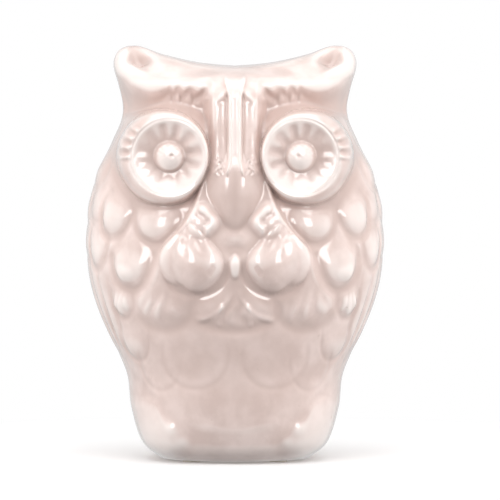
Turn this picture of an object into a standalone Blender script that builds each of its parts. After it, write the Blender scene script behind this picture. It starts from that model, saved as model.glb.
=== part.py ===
"""Owl coin bank: a slip-cast, glazed owl with a coin slot in the back of its head, a press-in
stopper in its underside and four felt pads on its foot ring. It faces -Y and stands on z = 0."""

import math

import bmesh
import bpy
import numpy as np

MM = 0.001

# Driving dimensions
WALL = 4.5 * MM
GAP = 0.3 * MM
PAD_THICK = 0.8 * MM
PAD_RADIUS = 3.2 * MM
FLOOR_TOP = 9.5 * MM
CEILING = 136 * MM
RECESS_RADIUS = 18 * MM
RECESS_DEPTH = 3.4 * MM
HOLE_RADIUS = 14 * MM
SLOT_LENGTH = 38 * MM
SLOT_WIDTH = 5.2 * MM
SLOT_HEIGHT = 114 * MM
FLANGE_RADIUS = 17 * MM
FLANGE_THICK = 1.8 * MM
STOPPER_TOP = 17 * MM
AXIS_Y = 1 * MM

COLUMNS = 160
ROWS = 120
BODY_TRIANGLES = 6400
FRONT_CROWDING = 0.42
# The head's wall is thicker, because the brow is pressed in over each eye.
HEAD_WALL = 7.5 * MM

# The casting's outer form is worked out in mm. Its meridians, from the crown down to the ground:
# distance out from the axis, and height. The points of the three lists stand for the same
# places on the owl.
SIDE_MM = [(0, 142.3), (13, 143.4), (26, 146.3), (37, 150), (43.4, 144.8), (40.4, 127), (44.6, 115),
           (50.2, 103), (53.6, 86), (52.8, 66), (46.2, 47), (39.3, 31.5), (37.5, 19), (33.6, 6.6),
           (24, -0.6)]
FRONT_MM = [(0, 142.3), (12, 141.6), (22, 140), (31, 136.6), (34.8, 132), (34.6, 126), (36.0, 116),
            (38.2, 104), (40.4, 88), (41.2, 68), (39, 49), (36, 33), (35, 19), (32.6, 6.6), (24, -0.6)]
BACK_MM = [(0, 142.3), (10, 141.5), (19, 139), (27, 134.5), (32.5, 128.5), (36.8, 121), (40.6, 111.5),
           (44, 99.5), (46.2, 84), (45.8, 66), (42.6, 48), (39.4, 32.5), (37, 19), (33, 6.6), (24, -0.6)]
# How narrow from front to back the side profile stays, at places along the meridians.
EAR_SHARPNESS = [(0, 2), (1, 2), (2, 3), (3, 8), (4, 7), (5, 4), (6, 2.6), (8, 2), (14, 2)]

CERAMIC_COLOUR = (0.86, 0.74, 0.70, 1)
STOPPER_COLOUR = (0.90, 0.88, 0.85, 1)
FELT_COLOUR = (0.70, 0.66, 0.60, 1)


def material(name, colour, roughness):
    made = bpy.data.materials.new(name)
    made.use_nodes = True
    shader = made.node_tree.nodes["Principled BSDF"]
    shader.inputs["Base Color"].default_value = colour
    shader.inputs["Roughness"].default_value = roughness
    return made


def add_object(name, mesh, collection, finish=None):
    made = bpy.data.objects.new(name, mesh)
    collection.objects.link(made)
    if finish:
        mesh.materials.append(finish)
    return made


def hide_cutter(cutter):
    cutter.hide_render = True
    cutter.display_type = "WIRE"


def cut(target, cutter):
    modifier = target.modifiers.new("cut " + cutter.name, "BOOLEAN")
    modifier.operation = "DIFFERENCE"
    modifier.object = cutter


def smooth_step(value, low, high):
    share = np.clip((value - low) / (high - low), 0, 1)
    return share * share * (3 - 2 * share)


def soft_maximum(first, second, blend):
    """The larger of two heights, rounded where they meet over about the blend distance."""
    share = np.clip(0.5 + 0.5 * (first - second) / blend, 0, 1)
    return second + (first - second) * share + blend * share * (1 - share)


def bell(value, width):
    return np.exp(-(value / width) ** 2)


def dome(across, along, height, power=0.5):
    """A rounded cap over an ellipse, from the distances across and along in half sizes."""
    return height * np.clip(1 - across ** 2 - along ** 2, 0, 1) ** power


def at_height(points, z):
    """The value at each height, from (height, value) pairs given from the top down."""
    heights, values = np.array(points, float).T
    return np.interp(z, heights[::-1], values[::-1])


def through(points, where):
    """The smooth curve through the given points, at places counted in points from the first."""
    held = np.array([points[0], *points, points[-1]], float)
    span = np.minimum(where.astype(int), len(points) - 2)
    t = (where - span)[:, None]
    before, start, end, after = (held[span + k] for k in range(4))
    return 0.5 * (2 * start + (end - before) * t
                  + (2 * before - 5 * start + 4 * end - after) * t ** 2
                  + (3 * start - before - 3 * end + after) * t ** 3)


def form(columns, rows, wall=0.0, head_wall=0.0):
    """The owl's plain outer form as rows of points in mm from crown to ground, before any
    relief. The walls move it inwards, for the hollow."""
    where = np.linspace(0, len(FRONT_MM) - 1, rows)
    side, front, back = (through(points, where) for points in (SIDE_MM, FRONT_MM, BACK_MM))
    turn = np.linspace(0, 2 * math.pi, columns, endpoint=False)
    # The angle is 0 at the front and grows towards +X; columns crowd towards the face.
    angle = turn - FRONT_CROWDING * np.sin(turn)
    across, forward = np.sin(angle), np.cos(angle)
    depth = np.where(forward[None, :] > 0, front[:, :1], back[:, :1])
    depth_z = np.where(forward[None, :] > 0, front[:, 1:], back[:, 1:])
    power = 2.25
    width = np.maximum(side[:, :1], 1e-9)
    depth = np.maximum(depth, 1e-9)
    radius = ((np.abs(across) / width) ** power + (np.abs(forward) / depth) ** power) ** (-1 / power)
    ears = np.abs(across) ** np.interp(where, *np.array(EAR_SHARPNESS).T)[:, None]
    z = depth_z + (side[:, 1:] - depth_z) * ears
    inset = wall + (head_wall - wall) * smooth_step(front[:, 1:], 112, 126)
    radius = np.maximum(radius - inset, 0)
    return np.stack([radius * across, AXIS_Y / MM - radius * forward, z], axis=-1)


def grid_normals(grid):
    """Outward normals of a closed ring grid."""
    along = np.roll(grid, -1, axis=1) - np.roll(grid, 1, axis=1)
    down = np.gradient(grid, axis=0)
    normal = np.cross(down, along)
    length = np.linalg.norm(normal, axis=-1, keepdims=True)
    return normal / np.maximum(length, 1e-12)


def place_front(grid, x, z):
    """The row and column of the form's point nearest to x and z on its front half."""
    behind = (grid[..., 1] > AXIS_Y / MM) * 1e6
    distance = (grid[..., 0] - x) ** 2 + (grid[..., 2] - z) ** 2 + behind
    return np.unravel_index(np.argmin(distance), distance.shape)


def place_round(grid, degrees, z):
    """The point nearest to an angle round the axis (0 is the front) and a height."""
    angle = np.arctan2(grid[..., 0], AXIS_Y / MM - grid[..., 1])
    off = np.angle(np.exp(1j * (angle - math.radians(degrees))))
    distance = (off * 50) ** 2 + (grid[..., 2] - z) ** 2
    return np.unravel_index(np.argmin(distance), distance.shape)


def lay_feather(grid, normals, relief, spot, width, length, height, lean=0.0, root=0.5):
    """The relief with one more feather laid over it like a shingle: its tip stands proud, and
    a trough is pressed round its lower edge."""
    out = normals[spot]
    beside = np.cross((0, 0, 1), out)
    beside = beside / np.linalg.norm(beside)
    down = np.cross(beside, out)
    down = down * math.cos(math.radians(lean)) + beside * math.sin(math.radians(lean))
    beside = np.cross(out, down)
    offset = grid - grid[spot]
    near = np.abs(offset @ out) < 0.6 * max(width, length)
    s, t = offset @ beside / (width / 2), offset @ down / (length / 2)
    s = s / (1 - (1 - root) * smooth_step(-t, -0.1, 1.1))
    edge = np.abs(s) ** 2.2 + np.abs(t) ** 2.2
    made = height * (np.clip(1 - edge, 0, 1) * near) ** 0.45 * (0.25 + 0.75 * smooth_step(t, -1.0, 0.6))
    pressed = 0.6 * bell(edge - 1.18, 0.22) * smooth_step(t, -0.6, 0.3) * near
    return soft_maximum(relief - pressed, made, 0.5)


# The feathers of one half of the front, lowest first: x, z, width, length, height, lean (degrees
# outwards) and root width.
FRONT_FEATHERS = [
    (38.3, 46.5, 10.0, 15.0, 2.2, 8, 0.5),
    (26.5, 58.6, 22.0, 22.0, 2.4, 4, 0.35),
    (41.6, 60.0, 9.0, 15.0, 2.8, 10, 0.5),
    (48.3, 79.5, 9.5, 17.0, 1.8, 8, 0.6),
    (37.4, 75.0, 14.5, 22.0, 3.4, 8, 0.4),
    (42.0, 91.0, 13.0, 21.0, 3.0, 14, 0.5),
    (27.3, 88.2, 18.5, 18.5, 3.4, 2, 0.8),
]
# The rows of feathers over the wings, lowest first: height, first and last angle round the axis
# (0 is the front), number of feathers and their length.
WING_ROWS = [(60, 70, 126, 4, 44), (82, 62, 122, 5, 18), (95, 70, 118, 4, 18), (107, 78, 112, 3, 18)]
# The rows over the back, lowest first: height and number of feathers.
BACK_ROWS = [(44, 4), (57, 5), (70, 4), (83, 5), (96, 4)]


def body_relief(grid, normals):
    """The feathers' height above the plain form: sides, then tail and back, then front."""
    relief = np.zeros(grid.shape[:2])

    def lay_round(degrees, z, *shape, **more):
        return lay_feather(grid, normals, relief, place_round(grid, degrees, z), *shape, **more)

    for side in (-1, 1):
        for z, first, last, count, length in WING_ROWS:
            for degrees in np.linspace(first, last, count):
                relief = lay_round(side * degrees, z, 15, length, 1.0)
    for step in (-2, 2, -1, 1, 0):
        relief = lay_round(180 + step * 14, 22, 13, 38, 1.4, root=0.9)
    for z, count in BACK_ROWS:
        for step in np.arange(count) - (count - 1) / 2:
            relief = lay_round(180 + step * 21, z, 18, 20, 2.0)
    relief = lay_feather(grid, normals, relief, place_front(grid, 0, 57), 27, 17, 1.5, root=0.3)
    for x, z, width, length, height, lean, root in FRONT_FEATHERS:
        for side in (-1, 1):
            spot = place_front(grid, side * x, z)
            relief = lay_feather(grid, normals, relief, spot, width, length, height, side * lean, root)
    return relief


# Half width of the raised middle of the face and breast, and of the beak, at falling heights.
MASK = [(120, 8.4), (107, 9.8), (98, 12.8), (90.5, 15.4), (83.5, 19.2), (78, 24.0), (71, 27.6),
        (61, 33.8), (50, 38.0)]
BEAK_HALF = [(108, 8.6), (104, 10.2), (99, 9.8), (95, 8.8), (92, 7.6), (89, 6.1), (86.5, 4.5),
             (82.6, 1.4)]
# How far the nose bridge and the beak stand out, at falling heights.
BRIDGE_RISE = [(138, 0), (136, 1.8), (126, 2.3), (118, 3.6), (112, 5.4), (106, 7.6), (102.5, 8.0),
               (97, 0)]
BEAK_RISE = [(107.8, 0), (105.6, 4.4), (103.8, 7.4), (102, 8.1), (98, 6.8), (94, 5.0), (90, 3.6),
             (82.6, 0)]
# The edge of the brow, as heights at distances out from the middle.
BROW = [(8, 133.0), (14, 133.2), (24, 134.2), (33, 135.0), (37, 136.0), (41, 138.5)]
BELLY_EDGE = [(0, 11.6), (15, 13), (21, 15), (25.5, 18), (30, 27), (36, 34), (60, 48)]


def brow_relief(out, z):
    """The hollow between each eye and the brow."""
    r, turn = np.hypot(out - 23.6, z - 109.2), np.degrees(np.arctan2(out - 23.6, z - 109.2))
    brow = np.interp(out, *np.array(BROW).T)
    under = smooth_step(brow - z, -1.6, 5.0) * smooth_step(r, 15.5, 20.0) * smooth_step(out, 8.4, 11.5)
    return -4.4 * under * smooth_step(np.abs(turn), 85, 60)


def breast_relief(out, z):
    """The plump drop-shaped feather under each cheek, and the long ones that meet below them."""
    down = np.clip((85.5 - z) / 23.7, 0, 1)
    swell = np.sin(math.pi * down ** 1.25)
    u = (out - 15.0 + 3.0 * smooth_step(down, 0.0, 0.6)) / np.maximum(8.6 * swell ** 0.62, 0.5)
    drop = (2.6 + 1.8 * smooth_step(down, 0.15, 0.62)) * np.clip(1 - u ** 2, 0, 1) ** 0.5 * swell ** 0.4
    drop = np.where((down > 0) & (down < 1), drop, 0)
    lobe = dome((out - 19.5) / 5.2, (z - 70) / 8.0, 2.8, 0.6)
    along = ((out - 0.5) * 0.80 + (62.4 - z) * 0.60) / 16.2
    across = (-(out - 0.5) * 0.60 + (62.4 - z) * 0.80) / 3.4
    arm = dome(along * 2 - 1, across, 1.8, 0.6)
    return np.maximum(soft_maximum(drop, lobe, 0.6), arm)


def face_relief(x, z):
    """What stands forward of the plain form on the face, breast and feet."""
    out = np.abs(x)
    inside = smooth_step(out - at_height(MASK, z), 0.8, -0.8)
    mask = (0.8 + 1.7 * smooth_step(z, 56, 74)) * inside * smooth_step(z, 138, 126) * smooth_step(z, 49, 56)
    bridge = at_height(BRIDGE_RISE, z) * smooth_step(out, 9.5, 7.0)
    beak = at_height(BEAK_RISE, z) * np.clip(1 - (out / at_height(BEAK_HALF, z)) ** 2, 0, 1) ** 0.55
    tuft = dome((out - 11.4) / 5.6, (z - 86.4) / 6.0, 3.2, 0.7)
    edge = np.interp(out, *np.array(BELLY_EDGE).T)
    below = smooth_step(z, edge + 1.5, edge - 3.5)
    haunch = dome((out - 28.5) / 14.0, (z - 8.5) / 16.0, 2.8, 1.0)
    inner = smooth_step(out, 14.5, 25.0)
    foot = below * ((haunch - 1.0) * inner - 1.1 * (1 - inner))
    return mask + brow_relief(out, z) + foot + soft_maximum(soft_maximum(bridge, beak, 0.5), tuft, 0.5)


def eye_front(x, z):
    """How far forward of the axis the eye stands: a dish with a round pupil, turned a little
    outwards on a mound that is wider on its outer side."""
    turned_out, rim, pupil = math.radians(11), 13.2, 5.7
    out, up = np.abs(x) - 23.1, z - 109.1
    plane = 42.4 - out * math.tan(turned_out)
    r, turn = np.hypot(out, up), np.arctan2(out, up)
    inner, outer = r - rim, 16.9 - np.hypot(np.abs(x) - 25.3, z - 109.4)
    share = np.maximum(inner, 0) / np.maximum(inner + outer, 0.3)
    steep = 2.2 + 12.5 * smooth_step(np.cos(turn), -0.98, -0.35)
    flank = plane - steep * (1 - np.sqrt(np.clip(1 - share ** 2, 0, 1))) - 4 * np.maximum(-outer, 0)
    bowl = plane - 4.0 + 4.0 * (np.minimum(r, rim) / rim) ** 2.3
    ball = plane - 5.2 + np.sqrt(np.maximum(pupil ** 2 - r ** 2, 0))
    return np.where(r < rim, np.maximum(bowl, np.where(r < pupil, ball, 0)), flank)


def ear_depth(x, z):
    """The scoop in the front of each ear, steep at its upper wall, with a rolled lip below."""
    along, up, tilt = np.abs(x) - 33.8, z - 144.8, math.radians(27)
    a = (along * math.cos(tilt) + up * math.sin(tilt)) / 7.2
    b = (-along * math.sin(tilt) + up * math.cos(tilt)) / 2.8
    wall = smooth_step(b, -1.1, 0.1) * smooth_step(b, 1.15, 0.3)
    return -5.0 * wall * np.clip(1 - a ** 2, 0, 1) ** 0.6 * smooth_step(a, -1.2, 0.5)


def owl_grid(columns, rows):
    """The finished outer surface in mm: plain form, feathers, then what stands on the face."""
    plain = form(columns, rows)
    normals = grid_normals(plain)
    x, z = plain[..., 0], plain[..., 2]
    facing = smooth_step(AXIS_Y / MM - plain[..., 1], 3, 14)
    relief = soft_maximum(body_relief(plain, normals), breast_relief(np.abs(x), z) * facing, 0.5)
    in_front = smooth_step(AXIS_Y / MM - plain[..., 1], -2, 2)
    relief = relief + ear_depth(x, z) * smooth_step(z, 136, 139) * in_front
    grid = plain + normals * relief[..., None]
    x, z = grid[..., 0], grid[..., 2]
    forward = AXIS_Y / MM - grid[..., 1] + facing * face_relief(x, z)
    forward = np.where(facing > 0, soft_maximum(forward, eye_front(x, z), 1.1), forward)
    grid[..., 1] = AXIS_Y / MM - forward
    return grid


def skin_grid(grid, name):
    """A closed mesh in metres over a ring grid in mm, whose first row is one point and whose
    last row is capped."""
    mesh = bmesh.new()
    rings = [[mesh.verts.new(point * MM) for point in row] for row in grid[1:]]
    pole = mesh.verts.new(grid[0].mean(axis=0) * MM)
    count = len(rings[0])
    for k in range(count):
        after = (k + 1) % count
        mesh.faces.new((pole, rings[0][k], rings[0][after]))
        for upper, lower in zip(rings, rings[1:]):
            mesh.faces.new((upper[k], lower[k], lower[after], upper[after]))
    mesh.faces.new(rings[-1])
    bmesh.ops.recalc_face_normals(mesh, faces=mesh.faces)
    made = bpy.data.meshes.new(name)
    mesh.to_mesh(made)
    mesh.free()
    return made


def turned(name, profile, collection, steps=36):
    """A solid of revolution about the owl's upright axis, from a profile of radius and height
    that runs down its outer side."""
    outline = bmesh.new()
    corners = [outline.verts.new((radius, 0, z)) for radius, z in profile]
    for first, second in zip(corners, corners[1:]):
        outline.edges.new((first, second))
    mesh = bpy.data.meshes.new(name)
    outline.to_mesh(mesh)
    outline.free()
    made = add_object(name, mesh, collection)
    screw = made.modifiers.new("turn", "SCREW")
    screw.steps = steps
    screw.render_steps = steps
    screw.use_merge_vertices = True
    screw.merge_threshold = 0.00001
    screw.use_normal_calculate = True
    screw.use_normal_flip = True
    return made


def arc(centre, radius, start, end, count):
    """Points of an arc in the profile plane; angles in degrees, 0 outwards and 90 upwards."""
    return [(centre[0] + radius * math.cos(math.radians(a)), centre[1] + radius * math.sin(math.radians(a)))
            for a in np.linspace(start, end, count)]


def ceramic_body(collection, cutters):
    glaze = material("glazed ceramic", CERAMIC_COLOUR, 0.12)
    body = add_object("ceramic_body", skin_grid(owl_grid(COLUMNS, ROWS), "ceramic_body"), collection, glaze)
    thin = body.modifiers.new("fewer faces", "DECIMATE")
    thin.ratio = BODY_TRIANGLES / (2 * COLUMNS * (ROWS - 1))
    thin.use_symmetry = True
    thin.symmetry_axis = "X"

    hollow_grid = form(30, 24, WALL / MM, HEAD_WALL / MM)
    hollow_grid[..., 2] = np.clip(hollow_grid[..., 2], FLOOR_TOP / MM, CEILING / MM)
    hollow = add_object("hollow", skin_grid(hollow_grid, "hollow"), cutters)
    # The access hole, the recess round it, and the flat ground a felt pad's thickness above z = 0.
    access = turned("access_hole", [
        (0, FLOOR_TOP + 3 * MM), (HOLE_RADIUS, FLOOR_TOP + 3 * MM), (HOLE_RADIUS, PAD_THICK + RECESS_DEPTH),
        (RECESS_RADIUS, PAD_THICK + RECESS_DEPTH), (RECESS_RADIUS, PAD_THICK), (50 * MM, PAD_THICK),
        (50 * MM, -5 * MM), (0, -5 * MM)], cutters)
    slot_mesh = bmesh.new()
    bmesh.ops.create_cube(slot_mesh, size=1)
    bmesh.ops.scale(slot_mesh, vec=(SLOT_LENGTH, 26 * MM, SLOT_WIDTH), verts=slot_mesh.verts)
    slot_data = bpy.data.meshes.new("coin_slot")
    slot_mesh.to_mesh(slot_data)
    slot_mesh.free()
    slot = add_object("coin_slot", slot_data, cutters)
    slot.location = (0, 38 * MM, SLOT_HEIGHT)
    rounding = slot.modifiers.new("rounded ends", "BEVEL")
    rounding.width = 0.3 * SLOT_WIDTH
    rounding.segments = 2
    for cutter in (hollow, access, slot):
        hide_cutter(cutter)
        cut(body, cutter)
    return body


def base_stopper(collection, cutters):
    rubber = material("soft plastic", STOPPER_COLOUR, 0.5)
    flange_top = PAD_THICK + RECESS_DEPTH - GAP
    flange_low = flange_top - FLANGE_THICK
    neck, rib, dish = HOLE_RADIUS - 0.9 * MM, HOLE_RADIUS - GAP, 10.8 * MM
    ceiling = STOPPER_TOP - 1.8 * MM
    profile = [(0, STOPPER_TOP)]
    profile += arc((neck - 2.4 * MM, STOPPER_TOP - 2.4 * MM), 2.4 * MM, 90, 0, 4)
    for rib_z in (13 * MM, 9 * MM):
        profile += [(neck, rib_z), (rib, rib_z - 0.6 * MM), (rib, rib_z - 1.4 * MM), (neck, rib_z - 2 * MM)]
    profile += [(neck, flange_top), (FLANGE_RADIUS, flange_top), (FLANGE_RADIUS, flange_low + 0.5 * MM),
                (FLANGE_RADIUS - 0.5 * MM, flange_low), (dish, flange_low), (dish, ceiling), (0, ceiling)]
    stopper = turned("base_stopper", profile, collection)
    stopper.data.materials.append(rubber)
    grip_mesh = bmesh.new()
    bmesh.ops.create_cube(grip_mesh, size=1)
    grip_size = (3.2 * MM, 2 * dish + 1 * MM, ceiling - flange_low)
    bmesh.ops.scale(grip_mesh, vec=grip_size, verts=grip_mesh.verts)
    grip_data = bpy.data.meshes.new("grip_bar")
    grip_mesh.to_mesh(grip_data)
    grip_mesh.free()
    grip = add_object("grip_bar", grip_data, cutters)
    grip.location = (0, 0, (ceiling + flange_low) / 2 + 0.8 * MM)
    hide_cutter(grip)
    join = stopper.modifiers.new("grip bar", "BOOLEAN")
    join.operation = "UNION"
    join.object = grip
    return stopper


def felt_pads(collection):
    felt = material("felt", FELT_COLOUR, 0.95)
    ring = (RECESS_RADIUS + 26 * MM) / 2
    for end, y in (("front", -1), ("rear", 1)):
        for side, x in (("left", -1), ("right", 1)):
            name = f"felt_pad_{end}_{side}"
            bpy.ops.mesh.primitive_cylinder_add(vertices=24, radius=PAD_RADIUS, depth=PAD_THICK - 0.1 * MM)
            pad = bpy.context.object
            pad.name = name
            pad.location = (x * ring * 0.7071, y * ring * 0.7071, (PAD_THICK - 0.1 * MM) / 2)
            pad.data.materials.append(felt)
            for holder in list(pad.users_collection):
                holder.objects.unlink(pad)
            collection.objects.link(pad)


def main():
    for old in list(bpy.data.objects):
        bpy.data.objects.remove(old)
    parts = bpy.data.collections.new("owl coin bank")
    cutters = bpy.data.collections.new("cutters")
    for group in (parts, cutters):
        bpy.context.scene.collection.children.link(group)
    ceramic_body(parts, cutters)
    base_stopper(parts, cutters)
    felt_pads(parts)


main()
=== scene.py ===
"""Looks of the owl coin bank: one finely modelled glazed casting, its soft plastic stopper and its
felt pads, on a pale floor in soft studio light."""

import math

import bmesh
import bpy
import numpy as np
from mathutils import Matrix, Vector


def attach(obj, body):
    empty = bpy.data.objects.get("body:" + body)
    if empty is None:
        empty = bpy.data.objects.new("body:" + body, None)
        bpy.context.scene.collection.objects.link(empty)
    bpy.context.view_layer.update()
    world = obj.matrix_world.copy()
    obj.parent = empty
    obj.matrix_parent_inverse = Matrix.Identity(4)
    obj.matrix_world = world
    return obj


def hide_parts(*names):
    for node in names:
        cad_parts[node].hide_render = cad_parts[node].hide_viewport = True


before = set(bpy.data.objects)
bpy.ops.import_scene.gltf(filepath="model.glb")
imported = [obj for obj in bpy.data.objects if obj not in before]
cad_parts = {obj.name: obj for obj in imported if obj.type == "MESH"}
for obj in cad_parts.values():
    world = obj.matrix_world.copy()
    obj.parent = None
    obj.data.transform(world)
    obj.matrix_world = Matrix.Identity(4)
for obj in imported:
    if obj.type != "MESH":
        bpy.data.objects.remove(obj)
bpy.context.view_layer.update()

MM = 0.001

# Sizes in mm, the same as in the CAD.
WALL = 4.5
HEAD_WALL = 7.5
AXIS_Y = 1.0
PAD_THICK = 0.8
FLOOR_TOP = 9.5
CEILING = 136
RECESS_RADIUS = 18
RECESS_DEPTH = 3.4
HOLE_RADIUS = 14
SLOT_LENGTH = 38
SLOT_WIDTH = 5.2
SLOT_HEIGHT = 114

# The cutter that makes the slot: how deep it reaches from front to back, where its middle is, and
# how round its ends are.
CUTTER_DEPTH = 26
CUTTER_Y = 38
SLOT_ROUNDING = 2.2
# How far the edges of the recess and of the access hole are rounded.
RECESS_ROUNDING = 0.4
HOLE_ROUNDING = 0.5

# Points round the outer surface, and rows from its crown to its foot ring.
COLUMNS = 480
ROWS = 330
# How strongly the points crowd towards the face; 0 would space them evenly.
FRONT_CROWDING = 0.42
# How squarely the plain form is rounded, seen from above; 2 would be an ellipse.
ROUNDING_POWER = 2.25
# Over about what height feathers blend where they meet, and how far under the plain form their
# edges start.
CREVICE = 0.8
# The glaze's thickness over the plain form.
GLAZE = 0.5
# The middle of each eye, and the radii of its rim and pupil.
EYE_X = 23.1
EYE_Z = 109.1
EYE_RIM = 13.2
PUPIL = 5.7

# How bright the dim room in front of the object is, and the paper over, behind and under it.
DIM = 0.10
PAPER_ABOVE = 0.75
PAPER_BEHIND = 0.70
PAPER_BELOW = 0.40

# The camera, in metres: how far in front it stands, how high, the height it looks at, and how wide
# a view it takes in there. The owl stands a little to the left in the view.
CAMERA_DISTANCE = 1.1
CAMERA_HEIGHT = 0.095
VIEW_HEIGHT = 0.0757
VIEW_WIDTH = 0.182
VIEW_SHIFT = 0.030
SENSOR_WIDTH = 36

# Colours; a pair is the darkest and the palest of a mottled surface.
WARE = ((0.69, 0.545, 0.50), (0.815, 0.67, 0.625))
# Glaze where it gathers, darker in hollows, and where it runs thin, paler on proud edges: partly real
# glaze, partly painted shade and painted highlight.
POOLED_GLAZE_AND_SHADE = (0.645, 0.50, 0.455)
THIN_GLAZE_AND_HIGHLIGHT = (0.94, 0.85, 0.81)
SPECKS = (0.60, 0.47, 0.41)
BARE_WARE = ((0.78, 0.71, 0.65), (0.86, 0.80, 0.75))
PLASTIC = ((0.78, 0.76, 0.72), (0.84, 0.82, 0.79))
FELT = ((0.50, 0.45, 0.38), (0.66, 0.61, 0.54))
PAPER = ((0.92, 0.92, 0.92), (0.94, 0.94, 0.94))

# Meridians of the plain form, from the crown down to the ground: distance out from the axis, and
# height. The points of the three lists stand for the same places on the owl.
SIDE = [(0, 142.3), (13, 143.4), (26, 146.3), (37, 149.7), (43.4, 144.8), (40.2, 127), (44.2, 115),
        (49.8, 103), (53.2, 86), (52.4, 66), (45.8, 47), (39.0, 31.5), (37.3, 19), (33.4, 6.6),
        (26.5, PAD_THICK)]
FRONT = [(0, 142.3), (12, 141.6), (22, 140), (31, 136.6), (34.8, 132), (34.6, 126), (36.0, 116),
         (38.2, 104), (40.4, 88), (41.2, 68), (39, 49), (36, 33), (35, 19), (32.6, 6.6), (26, PAD_THICK)]
BACK = [(0, 142.3), (10, 141.5), (19, 139), (27, 134.5), (32.5, 128.5), (36.8, 121), (40.6, 111.5),
        (44, 99.5), (46.0, 84), (45.6, 66), (42.6, 48), (39.4, 32.5), (37, 19), (33, 6.6), (26, PAD_THICK)]
# How narrow from front to back the side profile stays, at places along the meridians.
EAR_SHARPNESS = [(0, 2), (1, 2), (2, 3), (3, 8), (4, 7), (5, 4), (6, 2.6), (8, 2), (14, 2)]


# Small helpers

def smooth_step(value, low, high):
    share = np.clip((value - low) / (high - low), 0, 1)
    return share * share * (3 - 2 * share)


def soft_maximum(first, second, blend):
    """The larger of two heights, rounded where they meet over about the blend distance."""
    share = np.clip(0.5 + 0.5 * (first - second) / blend, 0, 1)
    return second + (first - second) * share + blend * share * (1 - share)


def bell(value, width):
    return np.exp(-(value / width) ** 2)


def dome(across, along, height, power=0.5):
    """A rounded cap over an ellipse, from the distances across and along in half sizes."""
    return height * np.clip(1 - across ** 2 - along ** 2, 0, 1) ** power


def through(points, where):
    """The smooth curve through the given points, at places counted in points from the first."""
    held = np.array([points[0], *points, points[-1]], float)
    span = np.minimum(where.astype(int), len(points) - 2)
    t = (where - span)[:, None]
    before, start, end, after = (held[span + k] for k in range(4))
    return 0.5 * (2 * start + (end - before) * t
                  + (2 * before - 5 * start + 4 * end - after) * t ** 2
                  + (3 * start - before - 3 * end + after) * t ** 3)


# The owl's plain form

def row_places(rows):
    """Places along the meridians, evenly spaced over the surface and closer on the face."""
    fine = np.linspace(0, len(FRONT) - 1, 4000)
    curve = through(FRONT, fine)
    step = np.hypot(*np.diff(curve, axis=0).T)
    height = curve[1:, 1]
    step = step * (1 + 0.6 * smooth_step(height, 70, 84) * smooth_step(height, 141, 134))
    length = np.concatenate([[0], np.cumsum(step)])
    return np.interp(np.linspace(0, length[-1], rows), length, fine)


def form(columns, where, wall=0.0, head_wall=0.0):
    """Rows of points from crown to ground, before any relief. The walls move it inwards, for
    the hollow."""
    side, front, back = (through(points, where) for points in (SIDE, FRONT, BACK))
    turn = np.linspace(0, 2 * math.pi, columns, endpoint=False)
    # The angle is 0 at the front and grows towards +X; columns crowd towards the face.
    angle = turn - FRONT_CROWDING * np.sin(turn)
    across, forward = np.sin(angle), np.cos(angle)
    depth = np.where(forward[None, :] > 0, front[:, :1], back[:, :1])
    depth_z = np.where(forward[None, :] > 0, front[:, 1:], back[:, 1:])
    width = np.maximum(side[:, :1], 1e-9)
    depth = np.maximum(depth, 1e-9)
    radius = (np.abs(across) / width) ** ROUNDING_POWER + (np.abs(forward) / depth) ** ROUNDING_POWER
    radius = radius ** (-1 / ROUNDING_POWER)
    sharpness = np.interp(where, *np.array(EAR_SHARPNESS).T)[:, None]
    ears = np.abs(across) ** sharpness
    z = depth_z + (side[:, 1:] - depth_z) * ears
    inset = wall + (head_wall - wall) * smooth_step(front[:, 1:], 112, 126)
    radius = np.maximum(radius - inset, 0)
    return np.stack([radius * across, AXIS_Y - radius * forward, z], axis=-1)


def grid_normals(grid):
    along = np.roll(grid, -1, axis=1) - np.roll(grid, 1, axis=1)
    down = np.gradient(grid, axis=0)
    normal = np.cross(down, along)
    length = np.linalg.norm(normal, axis=-1, keepdims=True)
    return normal / np.maximum(length, 1e-12)


# Feathers

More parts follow.
